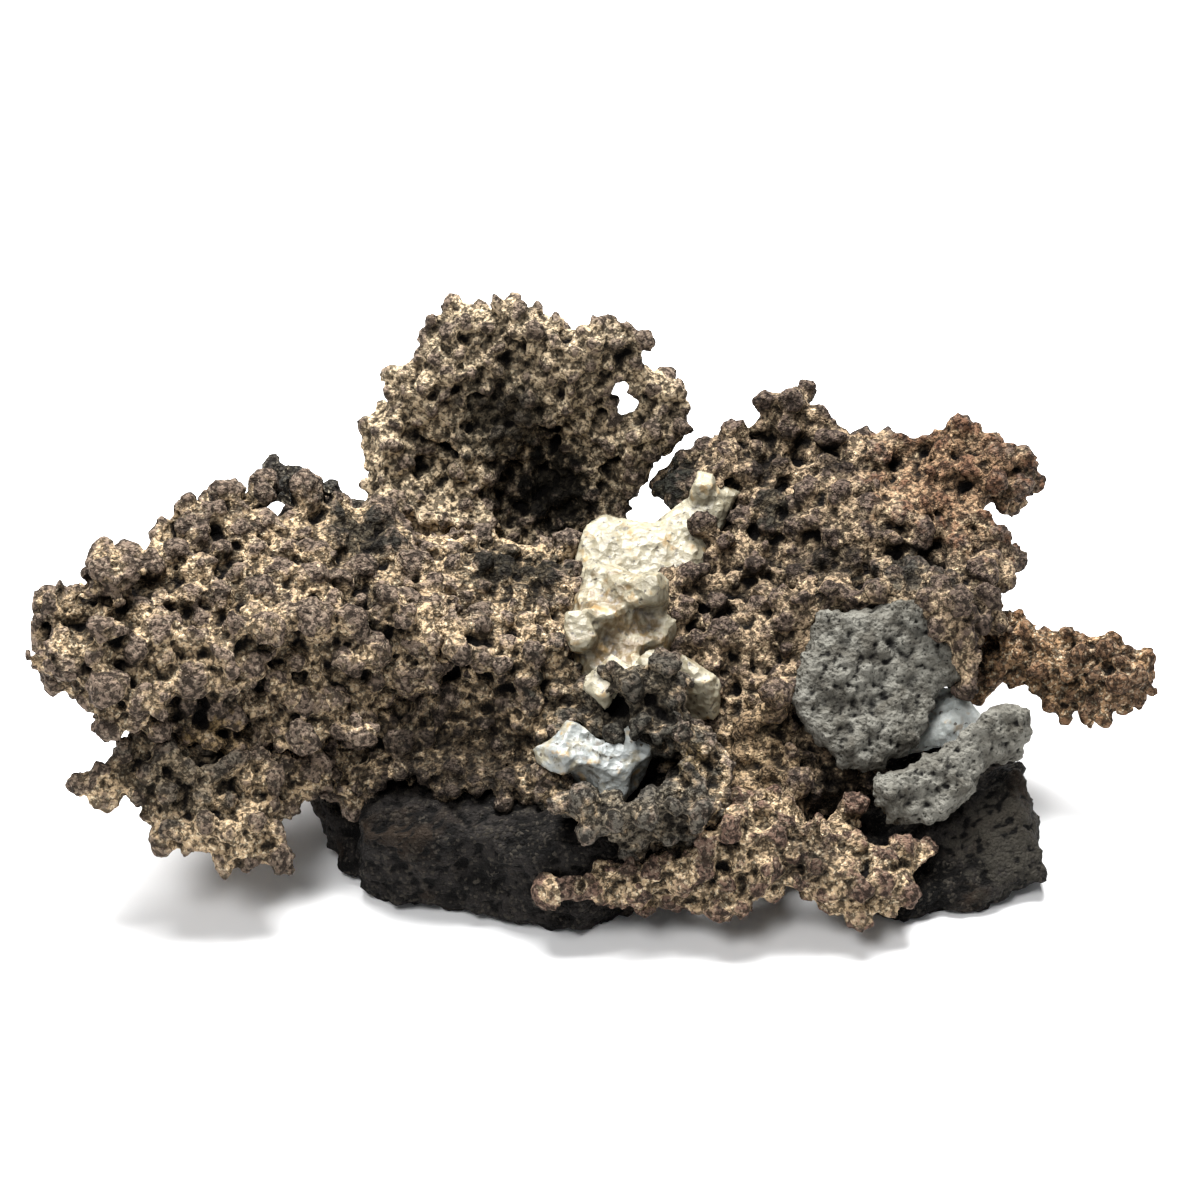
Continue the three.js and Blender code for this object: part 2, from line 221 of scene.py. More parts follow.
def scatter(tree: bpy.types.NodeTree, surface: Any, given: Any, level: str, turn_seed: int) -> Any:
    """Spreads nodules of one level over a surface.

    Args:
        tree: the tree that gets the nodes.
        surface: what carries the nodules.
        given: the tree's input node, with the level's spacing, radii and sink.
        level: the level's name, which its inputs start with.
        turn_seed: turns and squeezes this level's nodules in a way of their own.

    Returns:
        The node with the nodules.
    """
    places = {
        "Mesh": surface,
        "Distance Min": given.outputs[f"{level} spacing"],
        "Density Max": DENSEST,
        "Seed": given.outputs["Seed"],
    }
    spread = add(tree, "GeometryNodeDistributePointsOnFaces", places, distribute_method="POISSON")
    radii = {2: given.outputs[f"{level} smallest"], 3: given.outputs[f"{level} largest"], "Seed": turn_seed}
    size = add(tree, "FunctionNodeRandomValue", radii, data_type="FLOAT")
    depth = add(tree, MATH, {0: size, 1: given.outputs[f"{level} sink"]}, operation="MULTIPLY")
    down = add(tree, MATH, {0: depth, 1: -1.0}, operation="MULTIPLY")
    sinking = add(tree, VECTOR, {0: spread.outputs["Normal"], "Scale": down}, operation="SCALE")
    seats = add(tree, "GeometryNodeSetPosition", {"Geometry": spread.outputs["Points"], "Offset": sinking})
    shapes = add(tree, "GeometryNodeJoinGeometry")
    # A rounded nodule and a blocky one, which shows the flat faces of its crystals.
    for radius, subdivisions in ((1.0, 2), (1.12, 1)):
        shape = add(tree, "GeometryNodeMeshIcoSphere", {"Radius": radius, "Subdivisions": subdivisions})
        instance = add(tree, "GeometryNodeGeometryToInstance", {0: shape})
        tree.links.new(instance.outputs[0], shapes.inputs[0])
    all_round = {1: (math.tau,) * 3, "Seed": turn_seed + 1}
    turn = add(tree, "FunctionNodeRandomValue", all_round, data_type="FLOAT_VECTOR")
    narrowest, widest = SQUEEZE
    narrow_wide = {0: (narrowest,) * 3, 1: (widest,) * 3, "Seed": turn_seed + 2}
    squeeze = add(tree, "FunctionNodeRandomValue", narrow_wide, data_type="FLOAT_VECTOR")
    scale = add(tree, VECTOR, {0: squeeze, "Scale": size}, operation="SCALE")
    which = add(tree, "FunctionNodeRandomValue", {4: 0, 5: 1, "Seed": turn_seed + 3}, data_type="INT")
    growing = {
        "Points": seats,
        "Instance": shapes,
        "Pick Instance": True,
        "Instance Index": which,
        "Rotation": turn,
        "Scale": scale,
    }
    nodules = add(tree, "GeometryNodeInstanceOnPoints", growing)
    return add(tree, "GeometryNodeRealizeInstances", {"Geometry": nodules})


def nodule_tree() -> bpy.types.NodeTree:
    """Builds the tree that covers a branch with nodules.

    Returns:
        A tree that makes the branch uneven and draws it back, spreads large nodules over it, and then small
        ones over the large ones and what still shows of the branch.
    """
    sizes = {"Back": "Float", "Bulge size": "Float", "Bulge height": "Float"}
    for level in LEVELS:
        for size in ("spacing", "smallest", "largest", "sink"):
            sizes[f"{level} {size}"] = "Float"
    sizes |= {"Seed": "Int", "Material": "Material"}
    tree, given = geometry_tree("nodule_growth", sizes)
    normal = add(tree, "GeometryNodeInputNormal")
    waves = add(tree, MATH, {0: 1.0, 1: given.outputs["Bulge size"]}, operation="DIVIDE")
    drift = {"W": given.outputs["Seed"], "Scale": waves, "Detail": 1.0}
    noise = add(tree, NOISE, drift, noise_dimensions="4D")
    centred = add(tree, MATH, {0: noise, 1: 0.5}, operation="SUBTRACT")
    rise = add(tree, MATH, {0: centred, 1: given.outputs["Bulge height"]}, operation="MULTIPLY")
    height = add(tree, MATH, {0: rise, 1: given.outputs["Back"]}, operation="SUBTRACT")
    moving = add(tree, VECTOR, {0: normal, "Scale": height}, operation="SCALE")
    branch = add(tree, "GeometryNodeSetPosition", {"Geometry": given.outputs["Geometry"], "Offset": moving})
    whole = branch
    for i, level in enumerate(LEVELS):
        nodules = scatter(tree, whole, given, level, 10 * i + 3)
        both = add(tree, "GeometryNodeJoinGeometry", {0: whole})
        tree.links.new(nodules.outputs[0], both.inputs[0])
        whole = both
    end_tree(tree, whole, given.outputs["Material"])
    return tree


def sheltered(tree: bpy.types.NodeTree, mesh: Any, position: Any, normal: Any) -> Any:
    """Measures how far a point lies hidden behind the piece's own surface.

    Args:
        tree: the tree that gets the nodes.
        mesh: the piece.
        position: where its points are.
        normal: which way they face.

    Returns:
        The share, from 0 to 1, of a point's directions in which the piece is within SIGHT.
    """
    start = add(tree, VECTOR, {0: normal, 1: (OFF * MM,) * 3, 2: position}, operation="MULTIPLY_ADD")
    share = 0.0
    for look in LOOKS:
        way = add(tree, VECTOR, {0: normal, 1: look}, operation="ADD")
        line = {"Source Position": start, "Ray Direction": way, "Ray Length": SIGHT * MM}
        ray = add(tree, "GeometryNodeRaycast", {"Target Geometry": mesh} | line, data_type="FLOAT")
        adding = {0: ray.outputs["Is Hit"], 1: 1 / len(LOOKS), 2: share}
        share = add(tree, MATH, adding, operation="MULTIPLY_ADD")
    return add(tree, "GeometryNodeBlurAttribute", {"Value": share, "Iterations": 2}, data_type="FLOAT")


def grain_tree() -> bpy.types.NodeTree:
    """Builds the tree that roughens a surface and measures how far each point stands out.

    Returns:
        A tree that raises broken faces and coarse and fine grains, and keeps three attributes: "relief", in
        millimetres against the surface within half a millimetre, "swell", against the surface within two,
        and "shelter", from 0 to 1.
    """
    sizes = {}
    for level in ROUGHNESS:
        sizes |= {f"{level} size": "Float", f"{level} height": "Float"}
    sizes |= {"Wander": "Float", "Seed": "Int", "Material": "Material"}
    tree, given = geometry_tree("crystal_grain", sizes)
    position = add(tree, "GeometryNodeInputPosition")
    normal = add(tree, "GeometryNodeInputNormal")
    drift = add(tree, NOISE, {"Vector": position, "Scale": STRAY_WAVES, "Detail": 2.0})
    centred = add(tree, VECTOR, {0: drift.outputs["Color"], 1: (0.5,) * 3}, operation="SUBTRACT")
    wander = add(tree, VECTOR, {0: centred, "Scale": given.outputs["Wander"]}, operation="SCALE")
    warped = add(tree, VECTOR, {0: position, 1: wander}, operation="ADD")
    waves = add(tree, MATH, {0: 1.0, 1: given.outputs["Broken size"]}, operation="DIVIDE")
    chipping = {"Vector": position, "W": given.outputs["Seed"], "Scale": waves}
    chips = add(tree, NOISE, chipping | {"Detail": 5.0, "Roughness": 0.6}, noise_dimensions="4D")
    centred = add(tree, MATH, {0: chips, 1: 0.5}, operation="SUBTRACT")
    height = add(tree, MATH, {0: centred, 1: given.outputs["Broken height"]}, operation="MULTIPLY")
    for level in ROUGHNESS[1:]:
        count = add(tree, MATH, {0: 1.0, 1: given.outputs[f"{level} size"]}, operation="DIVIDE")
        packing = {"Vector": warped, "W": given.outputs["Seed"], "Scale": count}
        cells = add(tree, CELLS, packing, voronoi_dimensions="4D")
        dome = add(tree, MATH, {0: 0.5, 1: cells}, operation="SUBTRACT")
        rising = {0: dome, 1: given.outputs[f"{level} height"], 2: height}
        height = add(tree, MATH, rising, operation="MULTIPLY_ADD")
    raising = add(tree, VECTOR, {0: normal, "Scale": height}, operation="SCALE")
    rough = add(tree, "GeometryNodeSetPosition", {"Geometry": given.outputs["Geometry"], "Offset": raising})
    mesh = rough
    for name, rounds in ROUNDS.items():
        blurring = {"Value": position, "Iterations": rounds}
        smooth = add(tree, "GeometryNodeBlurAttribute", blurring, data_type="FLOAT_VECTOR")
        apart = add(tree, VECTOR, {0: position, 1: smooth}, operation="SUBTRACT")
        proud = add(tree, VECTOR, {0: apart, 1: normal}, operation="DOT_PRODUCT")
        in_mm = add(tree, MATH, {0: proud.outputs["Value"], 1: 1 / MM}, operation="MULTIPLY")
        kept = {"Geometry": mesh, "Name": name, "Value": in_mm}
        mesh = add(tree, "GeometryNodeStoreNamedAttribute", kept, data_type="FLOAT", domain="POINT")
    shelter = sheltered(tree, rough, position, normal)
    kept = {"Geometry": mesh, "Name": "shelter", "Value": shelter}
    mesh = add(tree, "GeometryNodeStoreNamedAttribute", kept, data_type="FLOAT", domain="POINT")
    end_tree(tree, mesh, given.outputs["Material"])
    return tree


# Places


@lru_cache
def surface(node: str) -> BVHTree:
    """Makes a plain solid's surface ready to be searched.

    Args:
        node: the solid's name.

    Returns:
        The tree that finds places on it.
    """
    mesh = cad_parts[node].data
    return BVHTree.FromPolygons([v.co for v in mesh.vertices], [list(p.vertices) for p in mesh.polygons])


@dataclass(frozen=True)
class Picture:
    """The picture's line of sight: places on the specimen are named by where one sees them.

    Attributes:
        look_at: the middle of the picture, in millimetres.
        distance: from there to the eye, in millimetres.
        elevation: the eye's angle above the horizon, in degrees.
    """

    look_at: tuple[float, float, float] = (-0.394, 6.327, 13.0)
    distance: float = 320.0
    elevation: float = 35.0

    @property
    def middle(self) -> Vector:
        """The middle of the picture, in metres."""
        return Vector(self.look_at) * MM

    @property
    def back(self) -> Vector:
        """The direction from the middle to the eye."""
        above = math.radians(self.elevation)
        return Vector((0, -math.cos(above), math.sin(above)))

    @property
    def eye(self) -> Vector:
        """Where the eye is, in metres."""
        return self.middle + self.back * self.distance * MM

    def seat(self, right: float, rise: float, nodes: tuple[str, ...]) -> tuple[Vector, Vector]:
        """Finds the place on the plain solids that one sees at a point of the picture.

        Args:
            right: the point's distance from the picture's middle to the right, in millimetres.
            rise: its distance upwards.
            nodes: the plain solids that may carry it.

        Returns:
            The nearest place on them and its normal, in metres, or where none of them is in sight there, the
            first solid's nearest place.
        """
        above = math.radians(self.elevation)
        up = Vector((0, math.sin(above), math.cos(above)))
        through = self.middle + Vector((right, 0, 0)) * MM + up * rise * MM
        way = (through - self.eye).normalized()
        found = []
        for node in nodes:
            place, normal, _, far = surface(node).ray_cast(self.eye, way)
            if place is not None:
                found.append((far, place, normal))
        if not found:
            return surface(nodes[0]).find_nearest(self.passing(nodes[0], way))[:2]
        return min(found, key=lambda one: one[0])[1:]

    def passing(self, node: str, way: Vector) -> Vector:
        """Finds where a line of sight passes a plain solid.

        Args:
            node: the solid's name.
            way: the line's direction.

        Returns:
            The line's point that is nearest to the middle of the solid's box.
        """
        low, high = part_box(node)
        middle = (Vector(low) + Vector(high)) / 2
        return self.eye + way * (middle - self.eye).dot(way)


PICTURE = Picture()


# Finishes


@dataclass(frozen=True)
class Tint:
    """A patch where a finish takes another colour; the near-black ones in recesses are painted shade.

    Attributes:
        right: where one sees its middle, in millimetres to the right of the picture's middle.
        rise: the same upwards.
        radius: how far it reaches, in millimetres.
        colour: its colour, as sRGB hex.
        strength: how much of the colour shows in its middle.
        seat: the plain solids that carry it, where it isn't only the piece's own.
    """

    right: float
    rise: float
    radius: float
    colour: str
    strength: float = 1.0
    seat: tuple[str, ...] = ()


@dataclass(frozen=True)
class Canvas:
    """A material that is being painted.

    Attributes:
        node: the plain solid whose piece wears it.
        tree: the material's tree.
        shader: its shader node.
        place: the object coordinates.
        measures: what the grain tree kept on the mesh, by name.
    """

    node: str
    tree: bpy.types.NodeTree
    shader: bpy.types.Node
    place: bpy.types.NodeSocket
    measures: dict[str, bpy.types.NodeSocket]

    def warp(self, size: float, reach: float) -> Any:
        """Shifts the coordinates about by a noise, to tear the outlines of a pattern.

        Args:
            size: the noise's waves, in millimetres.
            reach: how far it shifts them, in millimetres.

        Returns:
            The node with the shifted coordinates.
        """
        waves = {"Vector": self.place, "Scale": 1 / (size * MM), "Detail": 3.0}
        drift = add(self.tree, NOISE, waves).outputs["Color"]
        shift = {0: drift, 1: (reach * MM,) * 3, 2: self.place}
        return add(self.tree, VECTOR, shift, operation="MULTIPLY_ADD")

    def clouded(self, size: float, low: float, high: float, shade: str, body: str) -> Any:
        """Mixes two colours in soft clouds.

        Args:
            size: across a cloud, in millimetres.
            low: how high the noise is where the shade ends.
            high: how high it is where the body colour is full.
            shade: the one colour, as sRGB hex.
            body: the other.

        Returns:
            The node with the colour.
        """
        drifting = {"Vector": self.place, "Scale": 1 / (size * MM), "Detail": 6.0, "Roughness": 0.6}
        clouds = add(self.tree, NOISE, drifting)
        cloudy = add(self.tree, RANGE, {"Value": clouds, "From Min": low, "From Max": high}, **SMOOTH)
        return add(self.tree, MIX, {0: cloudy, 6: linear(shade), 7: linear(body)}, **COLOUR)

    def tinted(self, colour: Any, tints: tuple[Tint, ...]) -> Any:
        """Lays ragged patches of other colours over a colour.

        Args:
            colour: the node with the colour so far.
            tints: the patches.

        Returns:
            The node with the tinted colour.
        """
        tree = self.tree
        torn = self.warp(TORN_WAVES, TORN_REACH)
        ragged = add(tree, NOISE, {"Vector": self.place, "Scale": 1 / (0.9 * MM), "Detail": 5.0})
        # The tearing shifts the coordinates by half its reach on the whole.
        shift = Vector((TORN_REACH / 2,) * 3) * MM
        for tint in tints:
            centre = PICTURE.seat(tint.right, tint.rise, tint.seat or (self.node,))[0] + shift
            far = add(tree, VECTOR, {0: torn, 1: centre}, operation="DISTANCE").outputs["Value"]
            outwards = {"Value": far, "From Min": tint.radius * 1.5 * MM, "From Max": 0.0}
            fading = add(tree, RANGE, outwards)
            patchy = add(tree, MATH, {0: ragged, 1: 1.6, 2: fading}, operation="MULTIPLY_ADD")
            bounds = {"From Min": 1.1, "From Max": 1.5, "To Max": tint.strength}
            share = add(tree, RANGE, {"Value": patchy} | bounds, **SMOOTH)
            colour = add(tree, MIX, {0: share, 6: colour, 7: linear(tint.colour)}, **COLOUR)
        return colour

    def sunken(self, **limits: tuple[float, float, float]) -> Any:
        """Finds where the surface lies low, hollow or hidden.

        Args:
            limits: for each measure that counts, where it starts to, where it counts most, and how much.

        Returns:
            The node with the largest of the measures' shares, from 0 to 1.
        """
        largest = 0.0
        for name, (start, full, most) in limits.items():
            bounds = {"From Min": start, "From Max": full, "To Max": most}
            share = add(self.tree, RANGE, {"Value": self.measures[name]} | bounds, **SMOOTH)
            largest = add(self.tree, MATH, {0: largest, 1: share}, operation="MAXIMUM")
        return largest

    def cover(self, colour: Any, height: Any, depth: float) -> None:
        """Gives the shader its colour and the finest relief.

        Args:
            colour: the node with the colour.
            height: the node with the relief, from about 0 to 1.
            depth: how deep it is, in millimetres.
        """
        bump = add(self.tree, "ShaderNodeBump", {"Height": height, "Strength": 1.0, "Distance": depth * MM})
        self.tree.links.new(bump.outputs[0], self.shader.inputs["Normal"])
        self.tree.links.new(colour.outputs[2], self.shader.inputs["Base Color"])


@dataclass(frozen=True)
class Finish:
    """What the finishes of the four minerals share.

    Attributes:
        tints: patches of another colour.
        slot: the mineral.
    """

    tints: tuple[Tint, ...] = ()
    slot: ClassVar[Slot]

    def material(self, node: str) -> bpy.types.Material:
        """Builds the material.

        Args:
            node: the plain solid whose piece wears it.

        Returns:
            The finished material.
        """
        material = bpy.data.materials.new(f"{self.slot.value}_{node}")
        material.use_nodes = True
        tree = material.node_tree
        shader = tree.nodes["Principled BSDF"]
        place = add(tree, "ShaderNodeTexCoord").outputs["Object"]
        measures = {}
        for name in MEASURES:
            measures[name] = add(tree, "ShaderNodeAttribute", attribute_name=name).outputs["Fac"]
        self.paint(Canvas(node, tree, shader, place, measures))
        return material

    def paint(self, on: Canvas) -> None:
        """Paints the mineral on a material, as each finish does in its own way."""
        raise NotImplementedError


@dataclass(frozen=True)
class TarnishedSilver(Finish):
    """Native silver, grown as spongy nodules and tarnished.

    The worn tops of the nodules are dull mauve brown, their flanks are tan and granular, with pale glints
    painted on some grains, and the hollows are almost black with silver sulphide and painted shade.

    Attributes:
        tops: colour of what stands out.
        flanks: colour of the granular sides.
        painted_glints: the pale colour painted on scattered grains as glints of light.
        sulphide_and_shade: colour between the grains and the nodules, silver sulphide and painted shade.
        wear: how far the brown of the tops comes down the flanks, in millimetres.
    """

    tops: str = "75665a"
    flanks: str = "bca382"
    painted_glints: str = "f2e3c4"
    sulphide_and_shade: str = "0a0807"
    wear: float = 0.0
    slot: ClassVar[Slot] = Slot.SILVER

    def paint(self, on: Canvas) -> None:
        """Paints grains, worn tops, painted glints, and dark hollows of sulphide and painted shade.

        Args:
            on: the material to paint.
        """
        tree, place = on.tree, on.place
        # Crystal grains of two sizes, with outlines torn by a fine noise.
        torn = on.warp(0.3, 0.25)
        clumps = add(tree, CELLS, {"Vector": torn, "Scale": 1 / (0.5 * MM)})
        # The finest grains are about 0.1 mm, drawn at 0.18 mm so that they show.
        grains = add(tree, CELLS, {"Vector": torn, "Scale": 1 / (0.18 * MM)})
        mottle = add(tree, NOISE, {"Vector": place, "Scale": 1 / (0.35 * MM), "Detail": 6.0})
        height = add(tree, MATH, {0: clumps, 1: -0.55, 2: mottle}, operation="MULTIPLY_ADD")
        height = add(tree, MATH, {0: grains, 1: -0.3, 2: height}, operation="MULTIPLY_ADD")
        chance = add(tree, "ShaderNodeSeparateColor", {0: grains.outputs["Color"]})
        nodules = add(tree, CELLS, {"Vector": on.warp(1.2, 0.8), "Scale": 1 / (2.0 * MM)})
        mood = add(tree, "ShaderNodeSeparateColor", {0: nodules.outputs["Color"]})
        # Worn brown tops, more on some nodules than on others.
        level = add(tree, MATH, {0: mood, 1: 0.5, 2: on.measures["swell"]}, operation="MULTIPLY_ADD")
        level = add(tree, MATH, {0: mottle, 1: 0.5, 2: level}, operation="MULTIPLY_ADD")
        low = 0.5 - self.wear
        worn = add(tree, RANGE, {"Value": level, "From Min": low, "From Max": low + 0.4}, **SMOOTH)
        colour = add(tree, MIX, {0: worn, 6: linear(self.flanks), 7: linear(self.tops)}, **COLOUR)
        # Some nodules are duller than others all over.
        dulling = add(tree, RANGE, {"Value": mood, "From Min": 0.5, "From Max": 1.0, "To Max": 0.45})
        colour = add(tree, MIX, {0: dulling, 6: colour, 7: linear("4a4038")}, **COLOUR)
        # Painted glints: pale grains that stand for light caught by the metal, fewer on the worn tops.
        painted_glint_grains = add(tree, RANGE, {"Value": chance, "From Min": 0.7, "From Max": 0.98}, **SMOOTH)
        shy = add(tree, RANGE, {"Value": worn, "To Min": 0.6, "To Max": 0.12})
        glint_paint_and_metal = add(tree, MATH, {0: painted_glint_grains, 1: shy}, operation="MULTIPLY")
        colour = add(tree, MIX, {0: glint_paint_and_metal, 6: colour, 7: linear(self.painted_glints)}, **COLOUR)
        colour = on.tinted(colour, self.tints)
        # Painted shade, with silver sulphide, in the seams between the grains.
        low_between = {"Value": height, "From Min": 0.17, "From Max": -0.06, "To Max": 0.8}
        seam_shade_and_sulphide = add(tree, RANGE, low_between, **SMOOTH)
        colour = add(tree, MIX, {0: seam_shade_and_sulphide, 6: colour, 7: linear(self.sulphide_and_shade)}, **COLOUR)
        # Painted shade, with silver sulphide, in the hollows between the nodules and the branches and where
        # they lie hidden.
        hollow_shade_share = on.sunken(shelter=(0.3, 0.85, 1.0), swell=(-0.1, -0.5, 1.0), relief=(-0.01, -0.1, 0.85))
        colour = add(tree, MIX, {0: hollow_shade_share, 6: colour, 7: linear(self.sulphide_and_shade)}, **COLOUR)
        on.cover(colour, height, 0.45)
        # Bare metal shows on the grains painted with glints, and none in the hollows.
        open_air = add(tree, MATH, {0: 1.0, 1: hollow_shade_share}, operation="SUBTRACT")
        bare = add(tree, MATH, {0: glint_paint_and_metal, 1: open_air}, operation="MULTIPLY")
        metal = add(tree, MATH, {0: bare, 1: 0.8}, operation="MULTIPLY")
        tree.links.new(metal.outputs[0], on.shader.inputs["Metallic"])
        rough = add(tree, RANGE, {"Value": bare, "To Min": 0.8, "To Max": 0.4})
        tree.links.new(rough.outputs[0], on.shader.inputs["Roughness"])
        on.shader.inputs["Specular IOR Level"].default_value = 0.08


@dataclass(frozen=True)
class GreySulphide(Finish):
    """Silver sulphide, grown as a matt grey crust full of fine pits.

    Attributes:
        body: its colour where it is bare.
        shade: its colour where it is darker.
        pit_shade: the painted shade in its pits, in its hollows and under its rims.
    """

    body: str = "74726a"
    shade: str = "4b4841"
    pit_shade: str = "0f0e0d"
    slot: ClassVar[Slot] = Slot.SULPHIDE

    def paint(self, on: Canvas) -> None:
        """Paints the clouded grey, and the pits and hollows dark with painted shade.

        Args:
            on: the material to paint.
        """
        tree = on.tree
        colour = on.clouded(2.2, 0.36, 0.62, self.shade, self.body)
        # Pits about 0.3 mm across, in clusters, painted dark with shade.
        pores = add(tree, CELLS, {"Vector": on.warp(0.3, 0.2), "Scale": 1 / (0.38 * MM)})
        mottle = add(tree, NOISE, {"Vector": on.place, "Scale": 1 / (0.3 * MM), "Detail": 5.0})
        height = add(tree, MATH, {0: pores, 1: 0.8, 2: mottle}, operation="MULTIPLY_ADD")
        deep_enough = {"Value": height, "From Min": 0.72, "From Max": 0.52, "To Max": 0.8}
        pit_shade_share = add(tree, RANGE, deep_enough, **SMOOTH)
        colour = add(tree, MIX, {0: pit_shade_share, 6: colour, 7: linear(self.pit_shade)}, **COLOUR)
        colour = on.tinted(colour, self.tints)
        # Painted shade in the hollows and where the surface lies hidden, as in the pits.
        hollow_shade_share = on.sunken(relief=(0.0, -0.09, 1.0), shelter=(0.2, 0.8, 1.0), swell=(0.0, -0.3, 1.0))
        colour = add(tree, MIX, {0: hollow_shade_share, 6: colour, 7: linear(self.pit_shade)}, **COLOUR)
        on.cover(colour, height, 0.35)
        # A matt crust, with next to no shine.
        on.shader.inputs["Roughness"].default_value = 0.8
        on.shader.inputs["Specular IOR Level"].default_value = 0.1


@dataclass(frozen=True)
class WhiteCalcite(Finish):
    """Massive calcite, broken: cream white, a little translucent, with amber stains, dirt specks and painted
    shade in its cracks.

    Attributes:
        body: its colour on fresh faces.
        shade: its colour on duller ones.
        stain: the colour of iron that has crept in.
        dirt_and_shade: the colour of its dirt specks, and of the painted shade in its cracks and steps.
    """

    body: str = "9d9681"
    shade: str = "7a735f"
    stain: str = "937646"
    dirt_and_shade: str = "4a443a"
    slot: ClassVar[Slot] = Slot.CALCITE

    def paint(self, on: Canvas) -> None:
        """Paints the clouded white, the stains, and the dirt specks with painted shade in the hollows.

        Args:
            on: the material to paint.
        """
        tree, place = on.tree, on.place
        colour = on.clouded(2.4, 0.4, 0.62, self.shade, self.body)
        colour = on.tinted(colour, self.tints)
        veins = add(tree, NOISE, {"Vector": place, "Scale": 1 / (1.2 * MM), "Detail": 6.0})
        in_veins = {"Value": veins, "From Min": 0.58, "From Max": 0.7, "To Max": 0.7}
        stained = add(tree, RANGE, in_veins, **SMOOTH)
        colour = add(tree, MIX, {0: stained, 6: colour, 7: linear(self.stain)}, **COLOUR)
        specks = add(tree, NOISE, {"Vector": place, "Scale": 1 / (0.5 * MM), "Detail": 3.0})
        specked = add(tree, RANGE, {"Value": specks, "From Min": 0.62, "From Max": 0.7}, **SMOOTH)
        # Dirt specks, and painted shade in the hollows and hidden places.
        low = on.sunken(relief=(-0.01, -0.08, 1.0), shelter=(0.3, 0.9, 1.0))
        dirt_and_shade_share = add(tree, MATH, {0: specked, 1: low}, operation="MAXIMUM")
        colour = add(tree, MIX, {0: dirt_and_shade_share, 6: colour, 7: linear(self.dirt_and_shade)}, **COLOUR)
        # Cleavage steps about 0.7 mm wide.
        steps = add(tree, CELLS, {"Vector": place, "Scale": 1 / (0.7 * MM)})
        height = add(tree, MATH, {0: steps, 1: 0.6, 2: veins}, operation="MULTIPLY_ADD")
        on.cover(colour, height, 0.4)
        on.shader.inputs["Roughness"].default_value = 0.5
        # Calcite's own refraction, and light that goes half a millimetre deep.
        on.shader.inputs["IOR"].default_value = 1.6
        on.shader.inputs["Subsurface Weight"].default_value = 0.15
        on.shader.inputs["Subsurface Radius"].default_value = (1.0, 0.8, 0.6)
        on.shader.inputs["Subsurface Scale"].default_value = 0.5 * MM


@dataclass(frozen=True)
class DarkRock(Finish):
    """Broken matrix: black to dark brown, fine grained and dull, with paler grains and rusty patches.

    Attributes:
        body: its colour on dull faces.
        shade: its darker tone in clouds, and the painted shade in its cracks and hollows.
        grain: the colour of its paler grains.
        rust: the colour of its rusty patches.
    """

    body: str = "252220"
    shade: str = "080706"
    grain: str = "37332d"
    rust: str = "33281e"
    slot: ClassVar[Slot] = Slot.ROCK

    def paint(self, on: Canvas) -> None:
        """Paints the clouded black, the paler grains, the rust, and painted shade in its cracks.

        Args:
            on: the material to paint.
        """
        tree, place = on.tree, on.place
        colour = on.clouded(3.0, 0.4, 0.62, self.shade, self.body)
        # Grains about 0.15 mm across, drawn at 0.25 mm so that they show.
        grains = add(tree, CELLS, {"Vector": on.warp(0.3, 0.2), "Scale": 1 / (0.25 * MM)})
        chance = add(tree, "ShaderNodeSeparateColor", {0: grains.outputs["Color"]})
        pale = add(tree, RANGE, {"Value": chance, "From Min": 0.7, "From Max": 1.0}, **SMOOTH)
        colour = add(tree, MIX, {0: pale, 6: colour, 7: linear(self.grain)}, **COLOUR)
        rusty = add(tree, NOISE, {"Vector": place, "Scale": 1 / (5.0 * MM), "Detail": 5.0})
        in_patches = {"Value": rusty, "From Min": 0.56, "From Max": 0.72, "To Max": 0.5}
        rusting = add(tree, RANGE, in_patches, **SMOOTH)
        colour = add(tree, MIX, {0: rusting, 6: colour, 7: linear(self.rust)}, **COLOUR)
        colour = on.tinted(colour, self.tints)
        # Painted shade in the cracks and hollows.
        hollow_shade_share = on.sunken(relief=(0.0, -0.08, 1.0), shelter=(0.3, 0.9, 1.0), swell=(-0.05, -0.4, 1.0))
        colour = add(tree, MIX, {0: hollow_shade_share, 6: colour, 7: linear(self.shade)}, **COLOUR)
        crumbling = {"Vector": place, "Scale": 1 / (0.4 * MM), "Detail": 6.0, "Roughness": 0.65}
        crumbs = add(tree, NOISE, crumbling)
        height = add(tree, MATH, {0: grains, 1: -0.5, 2: crumbs}, operation="MULTIPLY_ADD")
        on.cover(colour, height, 0.5)
        # Dull stone, with next to no shine.
        on.shader.inputs["Roughness"].default_value = 0.75
        on.shader.inputs["Specular IOR Level"].default_value = 0.1


# Pieces


@dataclass(frozen=True)
class Grain:
    """How rough a surface is, in millimetres.

    Attributes:
        broken: across a chip of a broken face, and how far it reaches.
        coarse: across a coarse grain, and how far it stands out.
        fine: the same for a fine grain, which is a pit where the second number is below nought.
        wander: how far the grains' outlines stray.
    """

    broken: tuple[float, float] = (1.5, 0.3)
    coarse: tuple[float, float] = (1.0, 0.38)
    fine: tuple[float, float] = (0.5, 0.24)
    wander: float = 0.5

    def values(self) -> dict[str, float]:
        """Names the sizes as the grain tree's inputs, in metres.

        Returns:
            Each input's value, by the input's name.
        """
        sizes = {"Wander": self.wander * MM}
        for level, (size, height) in zip(ROUGHNESS, (self.broken, self.coarse, self.fine)):
            sizes |= {f"{level} size": size * MM, f"{level} height": height * MM}
        return sizes


